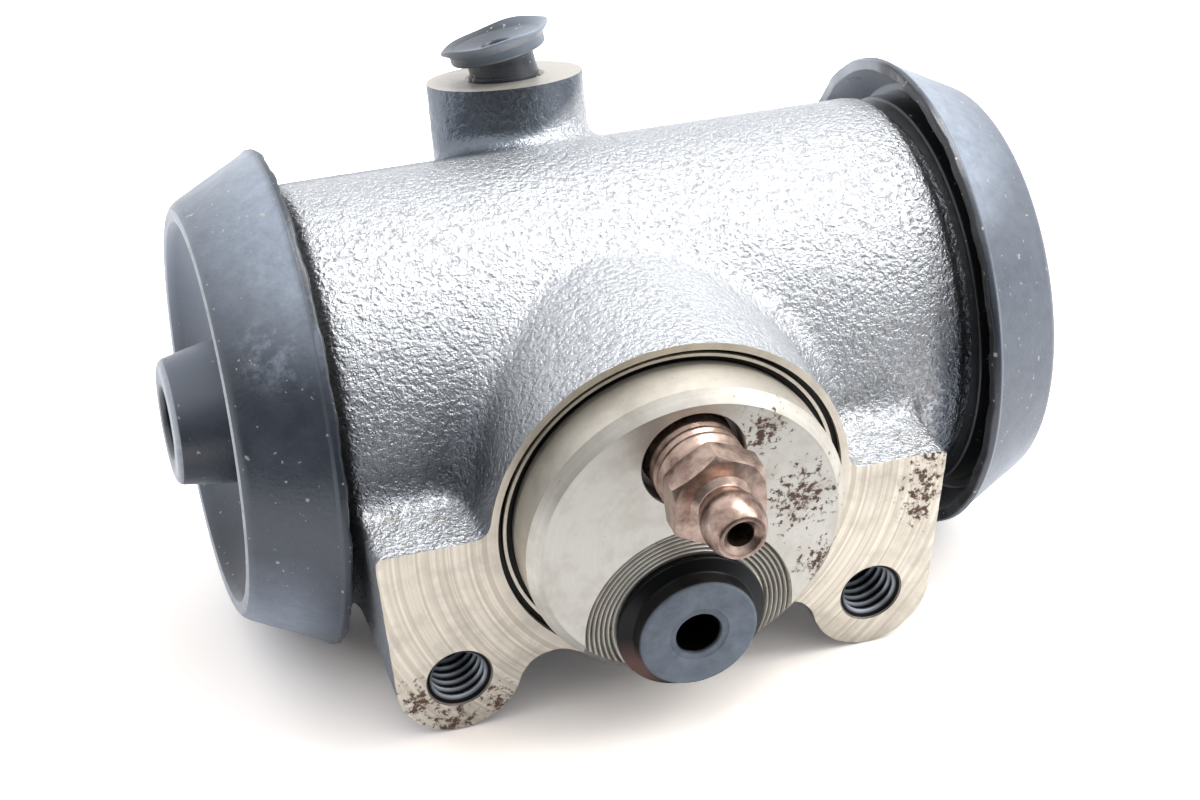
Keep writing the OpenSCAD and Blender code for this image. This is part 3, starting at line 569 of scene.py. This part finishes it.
trough = arc(15.71, 54.8, 8.6, 225, 343, 24)
boot_outline = rounded(
    [(4.5, 45, 0), (4.5, 57.7, 0.7), (7.9, 57.7, 1.1), (9.3, 50.2, 0)]
    + trough
    + [(24.35, 52.75, 0.4), (25.2, 52.9, 0.5)]
    + arc(24.9, 50.7, 2.2, 80, 27, 8)
    + [(31.4, 42.75, 0.3), (31.8, 42.3, 0.2), (31.8, 41.2, 0.35), (30.3, 41.2, 0.3), (27.93, 46, 0.5),
       (26.55, 46, 0.5), (26.55, 41.8, 0.4), (24.35, 41.8, 0), (24.35, 46.1, 0), (20.25, 46.12, 0)]
    + arc(15.71, 54.8, 9.8, 297.6, 270, 6)
    + [(4.5, 45, 0)]
)
left_end = on_bore @ Matrix.Rotation(math.radians(-90), 4, "Y")
boots = []
for name, node, place in (
    ("boot_left", "left_boot", left_end),
    ("boot_right", "right_boot", right_end),
):
    boot = turned(name, boot_outline, 160, place)
    boots.append(boot)
    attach(boot, "cylinder")
    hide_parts(node)
# The rims are ragged where the mould's flash was trimmed, and the left tube leans to the front.
for boot in boots:
    for vertex in boot.data.vertices:
        across = math.hypot(vertex.co.y / mm - bore_y, vertex.co.z / mm)
        turn = math.atan2(vertex.co.z, vertex.co.y - bore_y * mm)
        if across > 30 and abs(vertex.co.x / mm - bore_x) < 41.6:
            wave = 0.1 * (1 + math.sin(23 * turn))
            notch = 0.12 * max(math.sin(61 * turn + 2 * math.sin(7 * turn)), 0)
            vertex.co.x += math.copysign((wave + notch) * mm, vertex.co.x)
tube_root = 46.5
tube_radius = 10
tube_lean = math.radians(4.5)
for vertex in boots[0].data.vertices:
    reach = bore_x - vertex.co.x / mm - tube_root
    across = math.hypot(vertex.co.y / mm - bore_y, vertex.co.z / mm)
    if reach > 0 and across < tube_radius:
        vertex.co.y -= reach * math.tan(tube_lean) * mm

# Boot rubber: blue-black, with dust and scuffs, and a grey haze that is partly dust and partly
# painted light: on the skirt's top and underside, on the right boot's skirt, on the tube's top, on
# the far wall of the trough and on the crossover plug's top. The crest and the tube's end are lighter
# with wear and a painted highlight. The pocket under the skirt is painted black as shade, with
# painted light at its top and back, and there are tan specks of a few tenths of a millimetre.
rubber = bpy.data.materials.new("moulded_rubber")
rubber.use_nodes = True
tree = rubber.node_tree
shader = tree.nodes["Principled BSDF"]
here = add(tree, "TexCoord").outputs["Object"]
from_bore = add(tree, "VectorMath", {"operation": "SUBTRACT", 1: (bore_x * mm, bore_y * mm, 0)},
                {0: here})
part = add(tree, "SeparateXYZ", {}, {"Vector": from_bore})
across = add(tree, "VectorMath", {"operation": "MULTIPLY", 1: (0, 1, 1)}, {0: from_bore})
across = add(tree, "VectorMath", {"operation": "LENGTH"}, {0: across})
out = add(tree, "Math", {"operation": "ABSOLUTE"}, {0: part.outputs["X"]})
patch = add(tree, "TexNoise", {"Scale": 1 / (6 * mm), "Detail": 6.0, "Roughness": 0.7},
            {"Vector": here})
fine = add(tree, "TexNoise", {"Scale": 1 / (0.5 * mm), "Detail": 4.0, "Roughness": 0.6},
           {"Vector": here})
tone = add(tree, "MapRange", {"From Min": 0.35, "From Max": 0.7}, {"Value": patch})
black = add(tree, "Mix", {"data_type": "RGBA", "A": linear("#232a34"), "B": linear("#343c47")},
            {"Factor": tone})
outside = add(tree, "MapRange", {"From Min": 24.6 * mm, "From Max": 26.6 * mm}, {"Value": across})
rimward = add(tree, "MapRange", {"From Min": 51.5 * mm, "From Max": 44 * mm, "To Min": 0.5},
              {"Value": out})
# Painted light with dust: the skirt is paler towards its top, where the light falls, broken up by
# scuffs.
upper = add(tree, "MapRange", {"From Min": 17 * mm, "From Max": 26 * mm}, {"Value": part.outputs["Z"]})
streak = add(tree, "TexNoise", {"Scale": 1 / (2.2 * mm), "Detail": 7.0, "Roughness": 0.75},
             {"Vector": here})
scuff = add(tree, "MapRange", {"From Min": 0.35, "From Max": 0.65, "To Min": 0.68}, {"Value": streak})
dust_and_painted_light = add(tree, "Math", {"operation": "MULTIPLY"}, {0: upper, 1: scuff})
dust_and_painted_light = add(tree, "Math", {"operation": "MULTIPLY"}, {0: dust_and_painted_light, 1: rimward})
# Painted light: the skirt's underside is paler away from the rim, where the white table lights it from
# below.
under = add(tree, "MapRange", {"From Min": -2 * mm, "From Max": -18 * mm}, {"Value": part.outputs["Z"]})
under = add(tree, "Math", {"operation": "MULTIPLY"}, {0: under, 1: scuff})
under = add(tree, "Math", {"operation": "MULTIPLY"}, {0: under, 1: outside})
off_rim = add(tree, "MapRange", {"From Min": 42.5 * mm, "From Max": 47.5 * mm, "To Min": 0.15},
              {"Value": out})
under = add(tree, "Math", {"operation": "MULTIPLY"}, {0: under, 1: off_rim})
dust_and_painted_light = add(tree, "Math", {"operation": "MAXIMUM"}, {0: dust_and_painted_light, 1: under})
# Painted highlight along the top of the push-rod tube.
nose = add(tree, "Math", {"operation": "LESS_THAN", 1: 9.5 * mm}, {0: across})
nose_top = add(tree, "MapRange", {"From Min": 1 * mm, "From Max": 7 * mm, "To Max": 0.45},
               {"Value": part.outputs["Z"]})
nose = add(tree, "Math", {"operation": "MULTIPLY"}, {0: nose, 1: nose_top})
dust_and_painted_light = add(tree, "Math", {"operation": "MAXIMUM"}, {0: dust_and_painted_light, 1: nose})
# Painted light: the right boot's skirt is paler than the left's, as a painted reflection of the bright
# room on its right.
right = add(tree, "MapRange", {"From Min": -mm, "From Max": mm, "To Min": 0.08, "To Max": 0.36},
            {"Value": part.outputs["X"]})
right = add(tree, "Math", {"operation": "MULTIPLY"}, {0: right, 1: outside})
right = add(tree, "Math", {"operation": "MULTIPLY"}, {0: right, 1: scuff})
dust_and_painted_light = add(tree, "Math", {"operation": "MAXIMUM"}, {0: dust_and_painted_light, 1: right})
# Painted light on the far wall of the trough, paler towards its top.
far = add(tree, "MapRange", {"From Min": 4 * mm, "From Max": 12 * mm}, {"Value": part.outputs["Y"]})
inner = add(tree, "Math", {"operation": "LESS_THAN", 1: 24.5 * mm}, {0: across})
far = add(tree, "Math", {"operation": "MULTIPLY"}, {0: far, 1: inner})
far_up = add(tree, "MapRange", {"From Min": -8 * mm, "From Max": 10 * mm, "To Min": 0.2},
             {"Value": part.outputs["Z"]})
far = add(tree, "Math", {"operation": "MULTIPLY"}, {0: far, 1: far_up})
dust_and_painted_light = add(tree, "Math", {"operation": "MAXIMUM"}, {0: dust_and_painted_light, 1: far})
on_boot = add(tree, "Math", {"operation": "GREATER_THAN", 1: 38 * mm}, {0: out})
clean_rim = add(tree, "MapRange", {"From Min": 42.0 * mm, "From Max": 42.6 * mm}, {"Value": out})
dust_and_painted_light = add(tree, "Math", {"operation": "MULTIPLY"}, {0: dust_and_painted_light, 1: clean_rim})
# Painted highlight on the top of the crossover plug's head.
plug_top = add(tree, "MapRange", {"From Min": 32 * mm, "From Max": 35.5 * mm, "To Max": 0.85},
               {"Value": part.outputs["Z"]})
dust_and_painted_light = add(tree, "Math", {"operation": "MAXIMUM"}, {0: dust_and_painted_light, 1: plug_top})
rub = add(tree, "VectorMath", {"operation": "DISTANCE", 1: (-42 * mm, 18 * mm, 21 * mm)}, {0: here})
rub = add(tree, "MapRange", {"From Min": 8 * mm, "From Max": 1 * mm, "To Max": 0.9}, {"Value": rub})
rubbed = add(tree, "MapRange", {"From Min": 0.4, "From Max": 0.62}, {"Value": streak})
rub = add(tree, "Math", {"operation": "MULTIPLY"}, {0: rub, 1: rubbed})
dust_and_painted_light = add(tree, "Math", {"operation": "MAXIMUM"}, {0: dust_and_painted_light, 1: rub})
# Pale grey over the blue-black: dust, and painted light where the masks above raise it.
hazed_with_painted_light = add(tree, "Mix", {"data_type": "RGBA", "B": linear("#9ea8b6")}, {"Factor": dust_and_painted_light, "A": black})
# Painted shade: the pocket under the skirt is painted near black, and painted light makes its top and
# back pale.
slant = add(tree, "Math", {"operation": "MULTIPLY_ADD", 1: 0.5}, {0: out, 2: across})
pocket = add(tree, "Math", {"operation": "LESS_THAN", 1: 52.5 * mm}, {0: slant})
short = add(tree, "MapRange", {"From Min": 47.6 * mm, "From Max": 46.1 * mm}, {"Value": out})
pocket = add(tree, "Math", {"operation": "MULTIPLY"}, {0: pocket, 1: short})
pocket = add(tree, "Math", {"operation": "MULTIPLY"}, {0: pocket, 1: on_boot})
lit = add(tree, "MapRange", {"From Min": 6 * mm, "From Max": 14 * mm}, {"Value": part.outputs["Y"]})
lit_up = add(tree, "MapRange", {"From Min": 10 * mm, "From Max": 20 * mm}, {"Value": part.outputs["Z"]})
lit = add(tree, "Math", {"operation": "MULTIPLY"}, {0: lit, 1: lit_up})
lit = add(tree, "Math", {"operation": "MULTIPLY"}, {0: lit, 1: outside})
inside = add(tree, "Mix", {"data_type": "RGBA", "A": linear("#0c0d10"), "B": linear("#a9afb7")},
             {"Factor": lit})
shaded = add(tree, "Mix", {"data_type": "RGBA"}, {"Factor": pocket, "A": hazed_with_painted_light, "B": inside})
# Wear and a painted highlight: pale lines along the crest and round the tube's end.
crest = add(tree, "Math", {"operation": "COMPARE", 1: 52.9 * mm, 2: 0.22 * mm}, {0: out})
outer = add(tree, "Math", {"operation": "GREATER_THAN", 1: 23 * mm}, {0: across})
crest = add(tree, "Math", {"operation": "MULTIPLY"}, {0: crest, 1: outer})
tip = add(tree, "Math", {"operation": "GREATER_THAN", 1: 57.1 * mm}, {0: out})
tip_rim = add(tree, "MapRange", {"From Min": 5.8 * mm, "From Max": 7.0 * mm, "To Min": 0.2},
              {"Value": across})
tip = add(tree, "Math", {"operation": "MULTIPLY"}, {0: tip, 1: tip_rim})
edge = add(tree, "Math", {"operation": "MAXIMUM"}, {0: crest, 1: tip})
rubbed_off = add(tree, "MapRange", {"From Min": 0.35, "From Max": 0.6, "To Min": 0.45, "To Max": 0.8},
                 {"Value": streak})
edge = add(tree, "Math", {"operation": "MULTIPLY"}, {0: edge, 1: rubbed_off})
worn_and_highlit = add(tree, "Mix", {"data_type": "RGBA", "B": linear("#c3c8ce")}, {"Factor": edge, "A": shaded})
dust = add(tree, "TexNoise", {"Scale": 1 / (0.9 * mm), "Detail": 2.0, "Roughness": 0.5},
           {"Vector": here})
dusty = add(tree, "MapRange", {"From Min": 0.695, "From Max": 0.735, "To Max": 0.8}, {"Value": dust})
colour = add(tree, "Mix", {"data_type": "RGBA", "B": linear("#bdb7a9")}, {"Factor": dusty, "A": worn_and_highlit})
gloss = add(tree, "MapRange", {"From Min": 0.3, "From Max": 0.7, "To Min": 0.26, "To Max": 0.42},
            {"Value": patch})
bump = add(tree, "Bump", {"Strength": 0.7, "Distance": 0.06 * mm}, {"Height": fine})
fit(shader, {"Specular IOR Level": 0.8, "Sheen Weight": 0.35, "Sheen Roughness": 0.3},
    {"Base Color": colour, "Roughness": gloss, "Normal": bump})
for boot in boots:
    boot.data.materials.append(rubber)
    use(boot)
    bpy.ops.object.shade_smooth_by_angle(angle=math.radians(30))


# Bleeder screw: turned from copper-brown bar, with a cut thread, a chamfered hexagon and a
# bulbed nipple drilled down its axis.
outwards = Matrix.Rotation(math.radians(90), 4, "X")
out_of_face = Matrix.Translation((0, pilot_face * mm, bleeder_z * mm)) @ outwards
thread_pitch = 1.27
thread_turns = 14
hexagon_across = 11
hexagon_depth = 3.8
hexagon_middle = 6.9
hexagon_turn = math.radians(35 - 90)
screw = turned("bleeder", rounded(
    [(0, -15.4, 0), (1.6, -15.4, 0), (1.6, 15, 0), (2.3, 15.7, 0.1), (2.82, 15.7, 0.3)]
    + arc(-1.25, 12.8, 5, 31, -28, 10)
    + [(2.95, 10, 0.3), (2.9, 9.5, 0.3), (3.7, 8.75, 0.2), (4.7, 8.4, 0), (4.7, -14.9, 0),
       (4.55, -15.2, 0), (4.55, -16.55, 0), (1.3, -19.8, 0), (0, -19.8, 0)]
), 64, out_of_face)
thread_line = [(4.6, -14.9), (4.6, -14.6)]
for turn in range(thread_turns):
    foot = -14.4 + turn * thread_pitch
    thread_line += [
        (5.25, foot), (5.48, foot + 0.4), (5.5, foot + 0.6), (5.48, foot + 0.8), (5.25, foot + 1.2),
    ]
thread_line += [(5.0, 4.4), (5.0, 5.2), (4.6, 5.2), (4.6, -14.9)]
thread = turned("bleeder_thread", thread_line, 64, out_of_face)
bpy.ops.object.select_all(action="DESELECT")
corner_radius = hexagon_across / 2 / math.cos(math.radians(30))
bpy.ops.mesh.primitive_cylinder_add(vertices=6, radius=corner_radius * mm, depth=hexagon_depth * mm)
hexagon = bpy.context.object
on_screw = Matrix.Translation((0, 0, hexagon_middle * mm)) @ Matrix.Rotation(hexagon_turn, 4, "Z")
hexagon.matrix_world = out_of_face @ on_screw
bpy.ops.object.transform_apply()
chamfer = turned("hexagon_chamfer", [
    (3, 5), (5.55, 5), (6.4, 5.45), (6.4, 8.3), (5.55, 8.8), (3, 8.8), (3, 5),
], 64, out_of_face)
cut(hexagon, chamfer, "INTERSECT")
sharp = math.radians(30)
apply(hexagon, "BEVEL", width=0.12 * mm, segments=2, limit_method="ANGLE", angle_limit=sharp)
cut(screw, thread, "UNION")
cut(screw, hexagon, "UNION")

# Copper-brown metal: dull bronze, browner and darker in patches, with fine handling marks
bronze = bpy.data.materials.new("browned_bronze")
bronze.use_nodes = True
tree = bronze.node_tree
shader = tree.nodes["Principled BSDF"]
here = add(tree, "TexCoord").outputs["Object"]
patch = add(tree, "TexNoise", {"Scale": 1 / (2.5 * mm), "Detail": 5.0, "Roughness": 0.65},
            {"Vector": here})
fine = add(tree, "TexNoise", {"Scale": 1 / (0.4 * mm), "Detail": 3.0}, {"Vector": here})
tone = add(tree, "MapRange", {"From Min": 0.35, "From Max": 0.65}, {"Value": patch})
colour = add(tree, "Mix", {"data_type": "RGBA", "A": linear("#82695d"), "B": linear("#cdb3a4")},
             {"Factor": tone})
gloss = add(tree, "MapRange", {"To Min": 0.2, "To Max": 0.42}, {"Value": patch})
bump = add(tree, "Bump", {"Strength": 0.5, "Distance": 0.03 * mm}, {"Height": fine})
fit(shader, {"Metallic": 0.92}, {"Base Color": colour, "Roughness": gloss, "Normal": bump})
screw.data.materials.clear()
screw.data.materials.append(bronze)
weld(screw)
bpy.ops.object.shade_smooth_by_angle(angle=math.radians(30))
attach(screw, "bleeder")
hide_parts("bleeder_screw")


# Inlet plug: a push-in plug moulded in black plastic, with a thin flange on the washer seat
# and a hollow stem.
plug = turned("inlet_plug_cap", rounded([
    (0, -5.9, 0), (2.75, -5.9, 0), (2.75, 2.9, 0), (3.0, 3.25, 0.1), (3.7, 3.25, 0), (3.85, 3.4, 0),
    (7.4, 3.4, 0.5), (7.75, 1.35, 0.35), (9.4, 0.75, 0.3), (9.4, -0.3, 0.25), (6.3, -0.3, 0),
    (6.3, -7.5, 0), (5.5, -8.3, 0), (0, -8.3, 0),
]), 96, Matrix.Translation((0, pilot_face * mm, inlet_z * mm)) @ outwards)

# Moulded plastic: black and glossy on the flange, brownish at its lower left, and satin
# blue-grey on the outer face, from scuffs and a painted reflection of the white room.
plastic = bpy.data.materials.new("moulded_black_plastic")
plastic.use_nodes = True
tree = plastic.node_tree
shader = tree.nodes["Principled BSDF"]
here = add(tree, "TexCoord").outputs["Object"]
patch = add(tree, "TexNoise", {"Scale": 1 / (3 * mm), "Detail": 5.0, "Roughness": 0.7},
            {"Vector": here})
fine = add(tree, "TexNoise", {"Scale": 1 / (0.6 * mm), "Detail": 3.0}, {"Vector": here})
tone = add(tree, "MapRange", {"From Min": 0.35, "From Max": 0.7}, {"Value": patch})
# Satin blue-grey face: scuffs, and a painted reflection of the white room.
scuffed_and_reflecting = add(tree, "Mix", {"data_type": "RGBA", "A": linear("#666e78"), "B": linear("#7f8892")},
              {"Factor": tone})
depth = add(tree, "SeparateXYZ", {}, {"Vector": here})
outer = add(tree, "MapRange", {"From Min": -9.6 * mm, "From Max": -9.95 * mm},
            {"Value": depth.outputs["Y"]})
# Brownish at the flange's lower left.
edge = add(tree, "VectorMath", {"operation": "DISTANCE", 1: (-7.4 * mm, -7.2 * mm, -17.6 * mm)},
           {0: here})
stain = add(tree, "MapRange", {"From Min": 5.5 * mm, "From Max": 1.5 * mm, "To Max": 0.75},
            {"Value": edge})
flange = add(tree, "Mix", {"data_type": "RGBA", "A": linear("#08090a"), "B": linear("#7a5a50")},
             {"Factor": stain})
colour = add(tree, "Mix", {"data_type": "RGBA"}, {"Factor": outer, "A": flange, "B": scuffed_and_reflecting})
gloss = add(tree, "MapRange", {"To Min": 0.28, "To Max": 0.55}, {"Value": outer})
bump = add(tree, "Bump", {"Strength": 0.4, "Distance": 0.02 * mm}, {"Height": fine})
fit(shader, {"Specular IOR Level": 0.25}, {"Base Color": colour, "Roughness": gloss, "Normal": bump})
plug.data.materials.append(plastic)
use(plug)
bpy.ops.object.shade_smooth_by_angle(angle=math.radians(30))
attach(plug, "inlet_plug")
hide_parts("inlet_plug")


# Crossover plug: a soft black rubber plug with a disc head and a thin flared lip, pressed in
# askew, so that its head leans to the left and its lip waves.
head_lift = 0.816
head_lean = math.radians(-10)
lean = Matrix.Translation((0, 0, head_lift * mm)) @ Matrix.Rotation(head_lean, 4, "Y")
at_rear_top = on_rear @ Matrix.Translation((0, 0, rear_top * mm))
stem = turned("crossover_plug_head", [
    (0, -8), (3.9, -8), (4.7, -7.2), (4.7, 0.4), (0, 0.4),
], 64, at_rear_top)
head = turned("crossover_head", rounded([
    (0, -1.3, 0), (4.45, -1.3, 0), (4.45, 2.3, 0.3), (6.4, 2.3, 0.4), (6.4, 3.7, 0.4), (7.4, 4.8, 0.15),
    (7.4, 5.3, 0.12), (5.9, 4.2, 0.6), (2, 3.7, 0.3), (1.6, 2.4, 0.3), (0, 2.4, 0),
]), 96, Matrix.Identity(4))
lip_root = 6
lip_width = 1.4
for vertex in head.data.vertices:
    r = math.hypot(vertex.co.x, vertex.co.y) / mm
    turn = math.atan2(vertex.co.y, vertex.co.x)
    if r > lip_root and vertex.co.z > 3.5 * mm:
        sunk = max(math.cos(turn - math.radians(140)), 0) ** 2
        wave = 0.12 * (1 + math.sin(5 * turn))
        vertex.co.z -= (0.8 * sunk + wave) * (r - lip_root) / lip_width * mm
head.matrix_world = at_rear_top @ lean
use(head)
bpy.ops.object.transform_apply()
cut(stem, head, "UNION")
stem.data.materials.clear()
stem.data.materials.append(rubber)
weld(stem)
bpy.ops.object.shade_smooth_by_angle(angle=math.radians(30))
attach(stem, "crossover_plug")
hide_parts("crossover_plug")


# Return spring: a coil of drawn steel wire between the dishes behind the two cups. It is shown in
# two halves that meet at its fixed middle.
halves = []
for name, on_left in (("coil_spring_left", True), ("coil_spring_right", False)):
    use(frame["nodes"]["return_spring"])
    bpy.ops.object.duplicate()
    half = bpy.context.object
    half.name = name
    del half["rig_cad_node"]
    bpy.ops.object.parent_clear(type="CLEAR_KEEP_TRANSFORM")
    bpy.ops.object.mode_set(mode="EDIT")
    bpy.ops.mesh.select_all(action="SELECT")
    bpy.ops.mesh.remove_doubles(threshold=0.002 * mm)
    bpy.ops.mesh.bisect(
        plane_co=(bore_x * mm, 0, 0), plane_no=(1, 0, 0), use_fill=True,
        clear_outer=on_left, clear_inner=not on_left,
    )
    bpy.ops.mesh.select_all(action="SELECT")
    bpy.ops.mesh.normals_make_consistent(inside=False)
    bpy.ops.object.mode_set(mode="OBJECT")
    bpy.ops.object.shade_smooth_by_angle(angle=math.radians(40))
    halves.append(half)
for half, joint in zip(halves, ("left_piston_slide", "right_piston_slide")):
    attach(half, "cylinder")
    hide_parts("return_spring")
    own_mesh(half)


# Inner pieces: turned aluminium pistons, rubber cups and plated dishes keep the shapes of the
# solids, and show only through the boots' holes. They and the spring get their finishes here.
nodes = frame["nodes"]
pistons = [nodes["left_piston"], nodes["right_piston"]]
cups = [nodes["left_cup"], nodes["right_cup"]]
dishes = [nodes["left_cup_expander"], nodes["right_cup_expander"]]
for finish, pieces, dark, light, grain_size, metallic, rough in (
    ("turned_aluminium", pistons, "#a9a49b", "#cfcac0", 0.6, 0.9, 0.32),
    ("cup_rubber", cups, "#18191b", "#2a2b2e", 2.0, 0.0, 0.55),
    ("plated_steel", dishes, "#a79f84", "#c6bfa6", 1.5, 0.9, 0.35),
    ("drawn_spring_wire", halves, "#6d7074", "#96999c", 0.8, 0.9, 0.38),
):
    inner = bpy.data.materials.new(finish)
    inner.use_nodes = True
    tree = inner.node_tree
    shader = tree.nodes["Principled BSDF"]
    here = add(tree, "TexCoord").outputs["Object"]
    patch = add(tree, "TexNoise", {"Scale": 1 / (grain_size * mm), "Detail": 4.0}, {"Vector": here})
    colour = add(tree, "Mix", {"data_type": "RGBA", "A": linear(dark), "B": linear(light)},
                 {"Factor": patch})
    bump = add(tree, "Bump", {"Strength": 0.3, "Distance": 0.02 * mm}, {"Height": patch})
    fit(shader, {"Metallic": metallic, "Roughness": rough}, {"Base Color": colour, "Normal": bump})
    for piece in pieces:
        for material_slot in piece.material_slots:
            material_slot.material = inner
